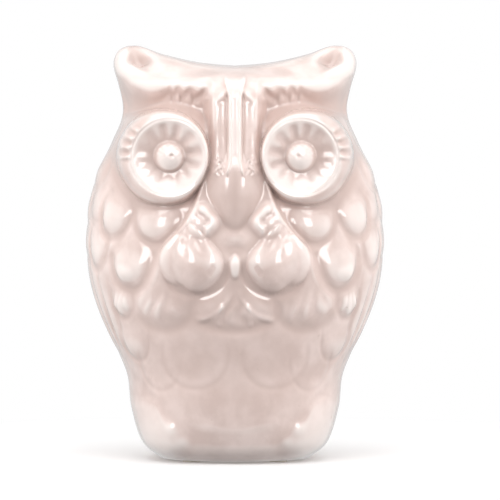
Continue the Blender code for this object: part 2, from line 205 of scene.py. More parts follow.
class Surface:
    """The plain form with its normals, on which feathers are laid."""

    def __init__(self, grid):
        self.grid = grid
        self.normals = grid_normals(grid)
        self.relief = np.full(grid.shape[:2], GLAZE)

    def place(self, x, z):
        """The grid point nearest to x and z on the front half."""
        behind = (self.grid[..., 1] > AXIS_Y) * 1e6
        distance = (self.grid[..., 0] - x) ** 2 + (self.grid[..., 2] - z) ** 2 + behind
        return np.unravel_index(np.argmin(distance), distance.shape)

    def place_round(self, degrees, z):
        """The grid point nearest to an angle round the axis (0 is the front) and a height."""
        angle = np.arctan2(self.grid[..., 0], AXIS_Y - self.grid[..., 1])
        off = np.angle(np.exp(1j * (angle - math.radians(degrees))))
        distance = (off * 50) ** 2 + (self.grid[..., 2] - z) ** 2
        return np.unravel_index(np.argmin(distance), distance.shape)

    def local(self, spot, width, length, lean):
        """Coordinates in half sizes across and down a feather laid at a grid point, and which
        points are near enough in depth to belong to it."""
        out = self.normals[spot]
        beside = np.cross((0, 0, 1), out)
        beside = beside / np.linalg.norm(beside)
        down = np.cross(beside, out)
        lean = math.radians(lean)
        down = down * math.cos(lean) + beside * math.sin(lean)
        beside = np.cross(out, down)
        offset = self.grid - self.grid[spot]
        near = np.abs(offset @ out) < 0.6 * max(width, length)
        return offset @ beside / (width / 2), offset @ down / (length / 2), near

    def lay(self, spot, width, length, height, lean=0.0, root=0.5, ribs=0, rib=0.5, trough=0.6):
        """Adds one feather over those already laid, like a shingle: its tip stands proud, and
        a trough is pressed round its lower edge. The ribs fan out towards the tip."""
        s, t, near = self.local(spot, width, length, lean)
        s = s / (1 - (1 - root) * smooth_step(-t, -0.1, 1.1))
        edge = np.abs(s) ** 2.2 + np.abs(t) ** 2.2
        inside = np.clip(1 - edge, 0, 1) * near
        lower = smooth_step(t, -0.6, 0.3)
        rising = 0.25 + 0.75 * smooth_step(t, -1.0, 0.6)
        made = (height + CREVICE) * inside ** 0.5 * rising - CREVICE
        if ribs:
            fan = s / (0.55 + 0.45 * (t + 1) / 2)
            fan = fan + 0.16 * np.sin(2.6 * fan + 4 * t)
            made = made + rib * np.cos(math.pi * ribs * fan) * smooth_step(inside, 0.0, 0.6) * lower
        pressed = trough * bell(edge - 1.24, 0.36) * lower * near
        self.relief = soft_maximum(self.relief - pressed, made, CREVICE)

    def lay_flat(self, spot, width, length, lean=0.0, height=0.48):
        """Adds a low feather whose lower edge is a soft raised line."""
        s, t, near = self.local(spot, width, length, lean)
        edge = np.abs(s) ** 2.2 + np.abs(t) ** 2.2
        lower = smooth_step(t, -0.5, 0.1) * near
        line = bell(edge - 0.80, 0.42) * lower
        made = 0.7 * height * np.clip(1 - edge, 0, 1) ** 0.4 * smooth_step(t, -0.8, 0.6) * near
        made = soft_maximum(made, 1.1 * height * line, 0.2)
        pressed = 0.5 * height * bell(edge - 1.3, 0.22) * lower
        self.relief = soft_maximum(self.relief - pressed, made, 0.3)


# The low feathers of one half of the belly: x, z, width, length and lean (degrees outwards).
BELLY_FEATHERS = [(35.8, 46.0, 12.0, 18.0, 8), (26.8, 37.0, 15.5, 19.5, 14), (14.4, 39.5, 21.0, 22.0, 4)]
# The feathers of one half of the front, lowest first: x, z, width, length, height, lean, root
# width, and the number of ribs.
FRONT_FEATHERS = [
    (36.0, 44.5, 13.0, 15.5, 1.2, 10, 0.6, 0),
    (25.5, 59.0, 21.0, 21.0, 1.6, 6, 0.30, 3),
    (40.2, 59.6, 10.5, 14.5, 2.0, 10, 0.6, 3),
    (48.6, 80.0, 12.5, 20.0, 1.7, 8, 0.7, 0),
    (36.4, 74.0, 17.0, 22.5, 2.5, 6, 0.35, 0),
    (41.6, 91.5, 14.5, 21.0, 2.4, 14, 0.5, 0),
    (27.2, 88.4, 16.8, 19.0, 2.9, 2, 0.8, 0),
]
# How many of those pairs lie under the single feather in the middle.
PAIRS_BELOW_MIDDLE = 2
# Rows of coverts on each side: height, the first and last angle from the front, and how many.
COVERT_ROWS = [(82, 62, 122, 5), (95, 70, 118, 4), (107, 78, 112, 3)]
# Rows of feathers round the back: height, and how many.
BACK_ROWS = [(44, 4), (57, 5), (70, 4), (83, 5), (96, 4)]


def lay_both(surface, x, z, *shape, lean, **more):
    """Lays a feather on each half of the front."""
    for side in (-1, 1):
        surface.lay(surface.place(side * x, z), *shape, lean=side * lean, **more)


def lay_front(surface):
    surface.lay_flat(surface.place(0, 23), 22, 17, height=0.2)
    for x, z, width, length, lean in BELLY_FEATHERS:
        for side in (-1, 1):
            surface.lay_flat(surface.place(side * x, z), width, length, side * lean)
    for number, (x, z, width, length, height, lean, root, ribs) in enumerate(FRONT_FEATHERS):
        if number == PAIRS_BELOW_MIDDLE:
            surface.lay(surface.place(0, 57.0), 27, 17, 1.2, ribs=4, rib=0.3, root=0.3)
        lay_both(surface, x, z, width, length, height, lean=lean, root=root, ribs=ribs, rib=0.22,
                 trough=0.3 if z < 62 else 0.6)
    # The smaller swell inside the long feather below the eye's outer side.
    lay_both(surface, 37.8, 70.6, 10.5, 12, 2.9, lean=8, trough=0)


def lay_round(surface, degrees, z, *shape, **more):
    """Lays a feather at an angle round the owl, counted from the front."""
    surface.lay(surface.place_round(degrees, z), *shape, **more)


def lay_sides(surface):
    """Wing quills, then rows of coverts over them, on both sides."""
    for side in (-1, 1):
        for degrees in np.arange(66, 130, 7.5):
            lay_round(surface, side * degrees, 60, 7.4, 44, 1.2, lean=side * -3, root=0.9, trough=0.3)
        for z, first, last, count in COVERT_ROWS:
            for degrees in np.linspace(first, last, count):
                lay_round(surface, side * degrees, z, 15, 18, 1.0, trough=0.4)


def lay_back(surface):
    """The tail, then rows of feathers over it."""
    for step in (-2, 2, -1, 1, 0):
        lay_round(surface, 180 + step * 14, 22, 13, 38, 1.4, root=0.9, trough=0.4)
    for z, count in BACK_ROWS:
        for step in np.arange(count) - (count - 1) / 2:
            lay_round(surface, 180 + step * 21, z, 18, 20, 2.0)


# What stands forward of the plain form

def along_z(points, z, soften=1.2):
    """A smooth value at each height, from (height, value) pairs given from the top down. It
    serves as well for distances out, given from the farthest in."""
    heights, values = np.array(points, float).T[:, ::-1]
    fine = np.arange(heights[0] - 6, heights[-1] + 6, 0.1)
    reach = np.arange(-3 * soften, 3 * soften + 0.05, 0.1)
    weight = bell(reach, soften)
    padded = np.arange(fine[0] + reach[0], fine[-1] - reach[0] + 0.05, 0.1)
    padded = np.interp(padded, heights, values)
    smooth = np.convolve(padded, weight / weight.sum(), "valid")
    return np.interp(z, fine, smooth[:len(fine)])


# How far out the raised middle of the face and the beak reach, at falling heights.
MASK = [(120, 8.4), (110, 9.2), (107, 9.8), (103, 11.2), (98, 12.8), (94, 14.0), (90.5, 15.4),
        (87, 17.2), (83.5, 20.0), (80.5, 22.6), (78, 25.0), (74, 27.2), (71, 28.4), (67, 30.2),
        (61, 33.8), (54, 37.2), (50, 38.0)]
BEAK_HALF = [(112, 6.6), (108, 9.0), (104, 10.6), (99, 10.4), (95, 9.6), (92, 8.4), (89, 6.8),
             (86.5, 5.0), (84.5, 3.4), (82.6, 1.6)]
# How far forward the beak stands, and how far the nose bridge leans, at falling heights.
BEAK_RISE = [(116, 0.0), (112, 2.6), (109, 4.1), (106, 5.0), (103, 5.4), (100, 5.2), (96, 4.6),
             (92, 3.8), (88, 2.7), (85, 1.5), (82.6, 0.0)]
BRIDGE_RISE = [(136, 0.0), (128, 0.6), (118, 1.9), (110, 3.0), (104, 3.9), (100, 3.6)]


def mask_relief(x, z):
    """The raised middle of the face and breast; its edge is crisp on the face and soft below."""
    past = np.abs(x) - along_z(MASK, z)
    soft = 0.8 + 1.6 * smooth_step(z, 80, 68)
    raised = smooth_step(past / soft, 1, -1) * smooth_step(z, 138, 126)
    lip = 0.45 * bell(past + 1.2, 0.9) * smooth_step(z, 73, 78) * smooth_step(z, 104, 98)
    return (0.8 + 1.4 * smooth_step(z, 56, 76)) * raised * smooth_step(z, 49, 58) + lip


def pocket_relief(x, z):
    """The deep pocket between the eye and the cheek."""
    out = np.abs(x)
    along = (107.5 - z) / 15
    centre = 10.4 + 8.6 * along
    width = 1.2 + 2.6 * np.clip(along, 0, 1.2)
    pocket = -1.9 * bell((out - centre) / width, 1)
    return pocket * smooth_step(along, -0.1, 0.35) * smooth_step(along, 1.15, 0.8)


def strip_half(z):
    """The half width of the narrow strip down the middle of the bridge, flared at both ends."""
    return 1.7 + 1.8 * smooth_step(z, 129, 138) + 1.4 * smooth_step(z, 108, 101)


def bridge_relief(x, z):
    """The nose bridge: two upright rolls with rounded tops beside a narrow strip with raised
    edges."""
    out = np.abs(x)
    cap = z + 0.16 * (out - 5.6) ** 2
    roll = dome((out - 5.5) / 2.9, 0, 1.15, 0.85)
    roll = roll * smooth_step(z, 102, 112) * smooth_step(cap, 138.4, 134.6)
    sag = 0.3 * bell(z - 111, 3.4) * bell(out - 6, 2.6)
    half = strip_half(z)
    edges = 2.3 * bell(out - half, 0.75) * smooth_step(z, 99, 104)
    floor = (1.1 + 0.18 * out ** 2) * smooth_step(out, half + 0.2, half - 0.4)
    floor = floor * smooth_step(z, 103, 112)
    strip = np.maximum(edges, floor) * smooth_step(z, 140, 134)
    side_line = 0.35 * bell(out - 8.3 + 0.3 * np.sin(0.8 * z), 0.9)
    side_line = side_line * smooth_step(z, 124, 129) * smooth_step(z, 139, 135)
    lean = along_z(BRIDGE_RISE, z) * smooth_step(out, 10.5, 6.5) * smooth_step(z, 94, 105)
    return soft_maximum(roll - sag, strip, 0.4) + side_line + lean


def beak_relief(x, z):
    """The hooked beak, which stands out most near its top, with a faint crease down the middle
    of its upper part."""
    u = np.abs(x) / along_z(BEAK_HALF, z)
    crease = 0.25 * bell(x, 1.6) * smooth_step(z, 90, 96) * smooth_step(z, 107, 103)
    return along_z(BEAK_RISE, z, 1.3) * np.clip(1 - u ** 2, 0, 1) - crease


def crumpled_skin(x, z):
    """The crumpled skin across the top of the beak, at both sides of the narrow strip."""
    out = np.abs(x)
    folds = np.sin(2.5 * out + 1.6 * np.sin(0.9 * z)) * np.sin(2.3 * z + 1.7 * np.sin(0.8 * out))
    across = smooth_step(out, 2.8, 4.4) * smooth_step(out, 9.8, 8.0)
    return 0.24 * folds * across * smooth_step(z, 101, 104) * smooth_step(z, 110, 106.5)


def bar(x, z, start, end, width, height):
    """A ridge between two points, rounded across and at both ends."""
    run, climb = end[0] - start[0], end[1] - start[1]
    squared = run ** 2 + climb ** 2
    along = np.clip(((x - start[0]) * run + (z - start[1]) * climb) / squared, 0, 1)
    aside = np.hypot(x - start[0] - along * run, z - start[1] - along * climb)
    return height * np.clip(1 - (aside / width) ** 2, 0, 1) ** 0.7


def cheek_relief(x, z):
    """The chin under the beak, the curled tufts beside it and the small drop below."""
    out = np.abs(x)
    chin = dome(x / 7.5, (z - 80.8) / 3.8, 0.9, 1.1)
    drop = dome(x / 2.2, (z - 70.5) / 4.6, 1.8)
    made = soft_maximum(chin, drop, 0.4)
    # Each tuft is a leaf curled round a hollow that opens outwards.
    over, up = out - 11.8, (z - 86.2) * 0.92
    r, turn = np.hypot(over, up), np.degrees(np.arctan2(up, -over))
    curl = 2.9 * bell(r - 3.5 - 0.4 * np.cos(np.radians(turn * 4)), 2.3)
    curl = curl * smooth_step(turn, -100, -50) * smooth_step(turn, 130, 85)
    tuft = soft_maximum(dome(over / 5.6, up / 5.6, 2.3, 0.7), curl, 1.0)
    fold = 0.25 * bar(out, z, (12.6, 88.6), (9.6, 87.2), 1.2, 1.0)
    return soft_maximum(made, tuft - fold, 0.6)


def breast_relief(x, z):
    """The two plump feathers under the cheeks: each hangs from a point beside the tuft like a
    drop, softly folded in its upper part, with a flatter shoulder at its outer side."""
    out = np.abs(x)
    down = np.clip((85.5 - z) / 24.5, 0, 1)
    swell = np.sin(math.pi * down ** 1.25)
    centre = 15.6 - 2.6 * smooth_step(down, 0.0, 0.6)
    u = (out - centre) / np.maximum(9.0 * swell ** 0.62, 0.5)
    plump = 2.6 + 1.7 * smooth_step(down, 0.15, 0.62)
    drop = plump * np.clip(1 - u ** 2, 0, 1) ** 0.55 * swell ** 0.4
    drop = np.where((down > 0) & (down < 1), drop, 0)
    folds = np.cos(math.pi * 2.4 * (u - 0.1))
    folds = folds * smooth_step(down, 0.62, 0.35) * smooth_step(drop, 0.5, 2.0)
    shoulder = dome((out - 19.8) / 6.6, (z - 73.0) / 9.0, 2.6, 0.6)
    made = soft_maximum(drop + 0.2 * folds, shoulder, 2.2)
    made = np.minimum(made, 6.0 * np.maximum(drop, shoulder))
    return made * smooth_step(z, 59, 63) - bar(out, z, (7.4, 70.2), (8.6, 68.4), 1.1, 0.4)


def breast_trough(x, z):
    """The crevice under the two plump feathers."""
    s, t = (np.abs(x) - 13.4) / 9.8, (71.2 - z) / 9.8
    edge = np.abs(s) ** 2.2 + np.abs(t) ** 2.2
    under = bell(edge - 1.25, 0.25) * smooth_step(t, -0.2, 0.5)
    throat = bell(x / 3.2, 1) * bell((z - 76) / 2.0, 1)
    return -1.1 * under - 1.6 * throat


def chevron_relief(x, z):
    """The pair of long scooped feathers that meet at the middle of the breast, thick along
    their lower edges, with two short ribs under each."""
    out = np.abs(x)
    along = ((out - 0.5) * 0.80 + (62.4 - z) * 0.60) / 16.2
    half = 2.3 + 1.3 * smooth_step(along, 0, 0.8)
    across = (-(out - 0.5) * 0.60 + (62.4 - z) * 0.80 + 0.2) / half
    edge = np.abs(along * 2 - 1) ** 2.6 + np.abs(across) ** 2.2
    thick = smooth_step(across, -0.4, 0.6) * smooth_step(along, 0.0, 0.3)
    ring = bell(edge - 0.72, 0.46 + 0.34 * thick) * (0.15 + 1.0 * thick)
    inside = 0.8 * smooth_step(edge, 1.3, 0.4) * smooth_step(across, -1.4, 0.8)
    ribs = bar(out, z, (4.4, 56.0), (5.4, 50.5), 1.3, 0.7) + bar(out, z, (0.9, 57), (1.2, 51), 1.1, 0.4)
    made = np.maximum(ring, inside) * smooth_step(edge, 2.3, 1.0) * smooth_step(along, -0.1, 0.15)
    return made + ribs


# The edge of the brow, as heights at distances out from the middle.
BROW = [(8, 133.0), (14, 133.2), (20, 133.8), (24, 134.2), (28, 134.6), (33, 135.0), (37, 136.0),
        (41, 138.5)]


def socket_relief(x, z):
    """The hollow between each eye and the brow, with short rays in the brow's edge, and a bead
    beside the top of the bridge."""
    out, up = np.abs(x) - 23.6, z - 109.2
    r, turn = np.hypot(out, up), np.degrees(np.arctan2(out, up))
    wave = np.cos(np.radians(turn * 36 + 60 * np.sin(np.radians(turn * 7))))
    rays = wave * smooth_step(turn, 4, -4) * smooth_step(turn, -52, -40)
    brow = np.interp(np.abs(x), *np.array(BROW).T) + 0.5 * rays
    soft = 3.6 + 5.0 * smooth_step(np.abs(x), 22, 32)
    under = smooth_step((brow - z + 1.6) / soft, 0, 1.3)
    under = under * smooth_step(r, 15.5, 20.0) * smooth_step(np.abs(x), 8.4, 11.5)
    hollow = -4.6 * under * smooth_step(np.abs(turn), 85, 60)
    bead = 1.1 * bell(np.hypot(np.abs(x) - 10.4, z - 129.6), 1.4)
    return hollow + 0.55 * rays * bell(z - brow + 2.2, 2.6) + bead


# The belly's lower edge, as heights at distances out from the middle.
BELLY_EDGE = [(60, 48), (42, 40), (36, 34), (33, 30), (30, 27), (27.5, 22.5), (25.5, 18), (21, 15),
              (15, 13), (10, 12), (0, 11.6)]


def foot_relief(x, z):
    """The belly's lower edge, and the haunch and toes at each side below it."""
    out = np.abs(x)
    edge = along_z(BELLY_EDGE, out)
    below = smooth_step(z, edge + 2.5, edge - 4.5)
    haunch = dome((out - 28.5) / 14.0, (z - 8.5) / 16.0, 2.8, 1.0)
    inner = smooth_step(out, 13.0, 25.0 + 0.12 * (z - 8))
    toes = 0.5 * bell(np.hypot(out - 22.4, z - 13.0), 2.4) + 0.4 * bell(np.hypot(out - 18.6, z - 8), 2.4)
    return below * ((haunch - 0.8) * inner - 0.8 * (1 - inner) + toes)


def eye_front(x, z):
    """How far forward of the axis the eye stands: a fluted dish with a rolled rim and a dimpled
    pupil, turned a little outwards on a mound that is wider on its outer side."""
    out, up = np.abs(x) - EYE_X, z - EYE_Z
    plane = 42.4 - out * math.tan(math.radians(11))
    r, turn = np.hypot(out, up), np.arctan2(out, up)
    # The mound's foot is a larger circle set further out.
    inner, outer = r - EYE_RIM, 16.9 - np.hypot(np.abs(x) - 25.3, z - 109.4)
    share = np.maximum(inner, 0) / np.maximum(inner + outer, 0.3)
    steep = 2.2 + 12.5 * smooth_step(np.cos(turn), -0.98, -0.35)
    flank = plane - steep * (1 - np.sqrt(np.clip(1 - share ** 2, 0, 1))) - 4 * np.maximum(-outer, 0)
    lashes = np.cos(turn * 27 + 1.2) * smooth_step(turn, 0.75, 0.95) * smooth_step(turn, 1.75, 1.55)
    flank = flank + 0.9 * lashes * smooth_step(share, 0.05, 0.3) * smooth_step(share, 0.98, 0.7)
    bowl = plane - 4.0 + 4.0 * (np.minimum(r, EYE_RIM) / EYE_RIM) ** 2.3
    shown = 0.10 + 0.22 * smooth_step(np.cos(turn + 0.7), -0.3, 0.8)
    flutes = np.cos(turn * 12 + 0.4 + 0.5 * np.sin(turn * 3))
    flutes = flutes * smooth_step(r, 5.6, 8) * smooth_step(r, 12.6, 10.5)
    bowl = bowl + shown * flutes - 0.9 * np.maximum(r - 12.4, 0) ** 2
    ball = plane - 5.2 + np.sqrt(np.maximum(PUPIL ** 2 - r ** 2, 0))
    ball = ball - 0.5 * bell(np.hypot(out + 0.8, up - 0.2), 0.9)
    uneven = 0.16 * np.sin(2.4 * out + np.sin(1.7 * up)) * np.sin(2.6 * up + 1)
    ball = ball + uneven * smooth_step(up, -2, 2)
    inside = soft_maximum(bowl, np.where(r < PUPIL, ball, 0), 0.25)
    return np.where(r < EYE_RIM, inside, flank - 0.56 * smooth_step(r, EYE_RIM + 0.8, EYE_RIM))


def ear_depth(x, z):
    """The scoop in the front of each ear, steep at its upper wall and deepest near the ear's
    tip, with a rolled lip below it."""
    along, up = np.abs(x) - 33.8, z - 144.6
    tilt = math.radians(27)
    a = (along * math.cos(tilt) + up * math.sin(tilt)) / 6.8
    b = (-along * math.sin(tilt) + up * math.cos(tilt)) / 2.9
    wall = smooth_step(b, -1.8, 0.5) * smooth_step(b, 1.5, 0.1)
    scoop = -5.0 * wall * np.clip(1 - a ** 2, 0, 1) ** 1.8 * smooth_step(a, -1.3, 0.6)
    return scoop + 0.8 * bell(b + 2.0, 0.9) * bell(a - 0.2, 0.9)


def slot_lip(x, z):
    """A low rounded bead round the coin slot."""
    along = np.maximum(np.abs(x) - SLOT_LENGTH / 2 + SLOT_ROUNDING, 0)
    past = np.hypot(along, z - SLOT_HEIGHT) - SLOT_WIDTH / 2
    return 0.8 * bell(past - 1.2, 1.6)


def painted_glaze_map(x, z):
    """Painted shade and highlight, given as glaze that is thicker (above zero) or thinner whatever the
    relief: darker over the beak, more so towards its tip, down its crease, on the pupils, round the
    eyes and beside the bridge, and low on the breast and belly; whiter just inside each eye's rim,
    down the strip and in the eyes' dishes, most in their lower halves."""
    out = np.abs(x)
    strip = smooth_step(out, strip_half(z) + 1.0, strip_half(z))
    strip = strip * smooth_step(z, 102, 107) * smooth_step(z, 140, 132)
    beak = smooth_step(out, along_z(BEAK_HALF, z), 0.6 * along_z(BEAK_HALF, z))
    beak = beak * smooth_step(z, 108, 103) * smooth_step(z, 81, 84) * (1 + 0.4 * smooth_step(z, 97, 88))
    from_eye = np.hypot(out - EYE_X, z - EYE_Z)
    dish = smooth_step(from_eye, 13.5, 11.5) * (0.35 + 0.75 * smooth_step(z, 109, 101))
    pupil = smooth_step(from_eye, 6.2, 5.2)
    mound = bell(from_eye - 15.9, 2.3) - 0.6 * bell(from_eye - 13.0, 0.8)
    panel = bell(out - 5.8, 2.0) * smooth_step(z, 106, 112) * smooth_step(z, 136, 131)
    belly = smooth_step(out, 36, 20) * smooth_step(z, 70, 58) * smooth_step(z, 12, 24)
    breast = bell(np.hypot((out - 13.5) / 9.0, (z - 66.5) / 7.5), 1)
    crease = bell(x, 1.2) * smooth_step(z, 86, 92) * smooth_step(z, 106, 103)
    face = 0.75 * beak + 0.4 * crease + 0.3 * pupil + 1.3 * mound + 0.3 * panel
    return face + 0.45 * belly + 0.7 * breast - 1.4 * strip - dish


def spread(values, step, times):
    """Values of a ring grid averaged with their neighbours some steps away, several times."""
    for _ in range(times):
        values = (np.roll(values, step, axis=1) + np.roll(values, -step, axis=1) + 2 * values) / 4
        padded = np.concatenate([values[:1]] * step + [values] + [values[-1:]] * step)
        values = (padded[:-2 * step] + padded[2 * step:] + 2 * values) / 4
    return values


def pooling_and_painted_light(plain, grid, thick):
    """How hollow (above zero) or proud (below) the surface is at each point, for the glaze, which turns
    darker in hollows and paler on proud edges, partly as painted shade and highlight: sharply at every
    edge, and softly over each feather; thick, the glaze's painted shade and highlight, adds to it."""
    sharp = np.sum((spread(grid, 3, 3) - grid) * grid_normals(grid), axis=-1) / 0.5
    depth = np.sum((grid - plain) * grid_normals(plain), axis=-1)
    soft = np.clip((spread(depth, 8, 4) - depth) / 2.4, -0.1, 0.6)
    return np.clip(sharp + soft + thick, -1, 1)


def glaze_and_painted_light(x, z, facing, scoop):
    """How much thicker the glaze is than usual, with painted shade where thicker and painted light where
    thinner: besides the painted map, it is thick in the ear scoops and on the outer sides of the ears,
    and thin and pale on the haunches and round the foot."""
    haunch = smooth_step(np.abs(x), 18, 30) * smooth_step(z, 34, 10)
    ears = smooth_step(np.abs(x), 31, 40) * smooth_step(z, 120, 134)
    return smooth_step(-scoop, 0.3, 2.0) + painted_glaze_map(x, z) * facing - 0.45 * haunch + 0.6 * ears


def outer_grid():
    """The finished outer surface from crown to foot ring, and how hollow it is at each point, with the
    painted shade and highlight for the glaze added.
    """
    plain = form(COLUMNS, row_places(ROWS))
    surface = Surface(plain)
    lay_sides(surface)
    lay_back(surface)
    lay_front(surface)
    x, z = plain[..., 0], plain[..., 2]
    facing = smooth_step(AXIS_Y - plain[..., 1], 3, 14)
    breast = soft_maximum(surface.relief + breast_trough(x, z) * facing,
                          np.maximum(breast_relief(x, z), chevron_relief(x, z)) * facing, CREVICE)
    scoop = ear_depth(x, z) * smooth_step(z, 136, 139) * smooth_step(AXIS_Y - plain[..., 1], -2, 2)
    lip = slot_lip(x, z) * smooth_step(plain[..., 1], 5, 12)
    grid = plain + surface.normals * (breast + scoop + lip)[..., None]
    x, z = grid[..., 0], grid[..., 2]
    details = soft_maximum(bridge_relief(x, z), beak_relief(x, z), 0.6)
    details = soft_maximum(details, cheek_relief(x, z), 0.5) + crumpled_skin(x, z)
    raised = mask_relief(x, z) + pocket_relief(x, z) + socket_relief(x, z) + foot_relief(x, z) + details
    forward = AXIS_Y - grid[..., 1] + facing * raised
    # The eye's mound blends into the head more softly towards the side.
    blend = 1.1 + 5.0 * smooth_step(np.abs(x), 36, 43)
    forward = forward + facing * (soft_maximum(forward, eye_front(x, z), blend) - forward)
    grid[..., 1] = AXIS_Y - forward
    # The foot ring stays flat on its pads.
    grid[..., 2] = np.maximum(grid[..., 2], PAD_THICK)
    return grid, pooling_and_painted_light(plain, grid, glaze_and_painted_light(x, z, facing, scoop))


def rings_below(outer):
    """The foot ring, recess and access hole, and the hollow, as two sets of rows that carry on
    from the outer surface, each row with the same number of points."""
    turn = np.linspace(0, 2 * math.pi, COLUMNS, endpoint=False)
    angle = turn - FRONT_CROWDING * np.sin(turn)

    def circle(radius, z):
        return np.stack([radius * np.sin(angle), -radius * np.cos(angle), np.full(COLUMNS, z)], axis=-1)

    recess_top = PAD_THICK + RECESS_DEPTH
    inwards = circle(RECESS_RADIUS, PAD_THICK) - outer[-1]
    rows = [outer[-1] + inwards * share for share in (0.35, 0.7)]
    rows += [circle(radius, z) for radius, z in (
        (RECESS_RADIUS + RECESS_ROUNDING, PAD_THICK),
        (RECESS_RADIUS, PAD_THICK + RECESS_ROUNDING),
        (RECESS_RADIUS, recess_top),
        (HOLE_RADIUS + HOLE_ROUNDING, recess_top),
        (HOLE_RADIUS, recess_top + HOLE_ROUNDING),
        (HOLE_RADIUS, FLOOR_TOP - HOLE_ROUNDING),
        (HOLE_RADIUS + HOLE_ROUNDING, FLOOR_TOP),
    )]
    places = np.linspace(1.0, len(FRONT) - 1.25, 26)[::-1]
    hollow = form(COLUMNS, places, WALL, HEAD_WALL)
    hollow[..., 2] = np.clip(hollow[..., 2], FLOOR_TOP, CEILING)
    return np.array(rows), hollow


def skin(grid, name):
    """A closed smooth-shaded mesh over ring rows, closed at both ends by a fan."""
    rows, columns = grid.shape[:2]
    centres = [grid[0].mean(axis=0)[None], grid[-1].mean(axis=0)[None]]
    points = np.concatenate([grid.reshape(-1, 3), *centres])
    k = np.arange(columns)
    after = (k + 1) % columns
    quads = []
    for row in range(rows - 1):
        upper, lower = row * columns, (row + 1) * columns
        quads.append(np.stack([upper + k, lower + k, lower + after, upper + after], axis=-1))
    fans = [np.stack([np.full(columns, rows * columns), k, after], axis=-1),
            np.stack([np.full(columns, rows * columns + 1), (rows - 1) * columns + after,
                      (rows - 1) * columns + k], axis=-1)]
    faces = np.concatenate(quads).tolist() + np.concatenate(fans).tolist()
    mesh = bpy.data.meshes.new(name)
    mesh.from_pydata((points * MM).tolist(), [], faces)
    mesh.shade_smooth()
    return mesh


def add_attribute(mesh, name, values):
    """A number for every point of a ring mesh; the two fan centres take their row's mean."""
    made = mesh.attributes.new(name, "FLOAT", "POINT")
    values = np.concatenate([values.ravel(), [values[0].mean(), values[-1].mean()]])
    made.data.foreach_set("value", values.astype(np.float32))


def make_owl():
    """The casting as one closed mesh, with its slot cut and its glaze."""
    # The first row is a single point at the crown, which the fan's centre stands in for.
    outer, pooled_and_painted = (rows[1:] for rows in outer_grid())
    rows, hollow = rings_below(outer)
    grid = np.concatenate([outer, rows, hollow])
    mesh = skin(grid, "owl_casting")
    bare = np.zeros((len(rows) + len(hollow), COLUMNS))
    # How hollow or proud each point is, with painted shade and painted highlight added, for the glaze's
    # colour.
    add_attribute(mesh, "crevice", np.concatenate([pooled_and_painted, bare]))
    add_attribute(mesh, "glazed", np.concatenate([np.ones(outer.shape[:2]), bare]))
    owl = bpy.data.objects.new("owl_casting", mesh)
    bpy.context.scene.collection.objects.link(owl)
    cut_slot(owl)
    mesh.materials.append(glaze_material())
    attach(owl, "bank")
    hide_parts("ceramic_body")


def cut_slot(owl):
    """Cuts the coin slot with a rounded cutter, and applies the cut."""
    mesh = bmesh.new()
    bmesh.ops.create_cube(mesh, size=1)
    bmesh.ops.scale(mesh, vec=(SLOT_LENGTH * MM, CUTTER_DEPTH * MM, SLOT_WIDTH * MM), verts=mesh.verts)
    lengthwise = [e for e in mesh.edges if abs(e.verts[0].co.y - e.verts[1].co.y) > 0.01]
    bmesh.ops.bevel(mesh, geom=lengthwise, offset=SLOT_ROUNDING * MM, segments=6, profile=0.5,
                    affect="EDGES")
    bmesh.ops.translate(mesh, vec=(0, CUTTER_Y * MM, SLOT_HEIGHT * MM), verts=mesh.verts)
    data = bpy.data.meshes.new("slot_cutter")
    mesh.to_mesh(data)
    mesh.free()
    cutter = bpy.data.objects.new("slot_cutter", data)
    bpy.context.scene.collection.objects.link(cutter)
    modifier = owl.modifiers.new("slot", "BOOLEAN")
    modifier.operation = "DIFFERENCE"
    modifier.object = cutter
    bpy.context.view_layer.objects.active = owl
    bpy.ops.object.modifier_apply(modifier=modifier.name)
    bpy.data.objects.remove(cutter)


# Materials

def new_material(name):
    """A material, and its nodes, links and main shader."""
    made = bpy.data.materials.new(name)
    made.use_nodes = True
    return made, made.node_tree.nodes, made.node_tree.links, made.node_tree.nodes["Principled BSDF"]


def noise(nodes, links, scale, detail=3.0):
    """Noise that stays with the object; a larger scale is finer."""
    place = nodes.new("ShaderNodeTexCoord")
    made = nodes.new("ShaderNodeTexNoise")
    made.inputs["Scale"].default_value = scale
    made.inputs["Detail"].default_value = detail
    links.new(place.outputs["Object"], made.inputs["Vector"])
    return made.outputs["Fac"]


def ramp(nodes, links, value, places, colours):
    """A colour that goes from the first to the second as the value passes the two places."""
    made = nodes.new("ShaderNodeValToRGB")
    for element, place, colour in zip(made.color_ramp.elements, places, colours):
        element.position = place
        element.color = (*colour, 1)
    links.new(value, made.inputs["Fac"])
    return made.outputs["Color"]


def attribute(nodes, name):
    made = nodes.new("ShaderNodeAttribute")
    made.attribute_name = name
    return made.outputs["Fac"]


def mix(nodes, links, share, first, second):
    """A blend of two colours, each a socket or three numbers."""
    made = nodes.new("ShaderNodeMix")
    made.data_type = "RGBA"
    links.new(share, made.inputs["Factor"])
    for name, colour in (("A", first), ("B", second)):
        if isinstance(colour, tuple):
            made.inputs[name].default_value = (*colour, 1)
        else:
            links.new(colour, made.inputs[name])
    return made.outputs["Result"]


def between(nodes, links, value, low, high, first=0.0, second=1.0):
    """A number carried from the range low to high into the range first to second."""
    made = nodes.new("ShaderNodeMapRange")
    links.new(value, made.inputs["Value"])
    for name, number in (("From Min", low), ("From Max", high), ("To Min", first), ("To Max", second)):
        made.inputs[name].default_value = number
    return made.outputs["Result"]


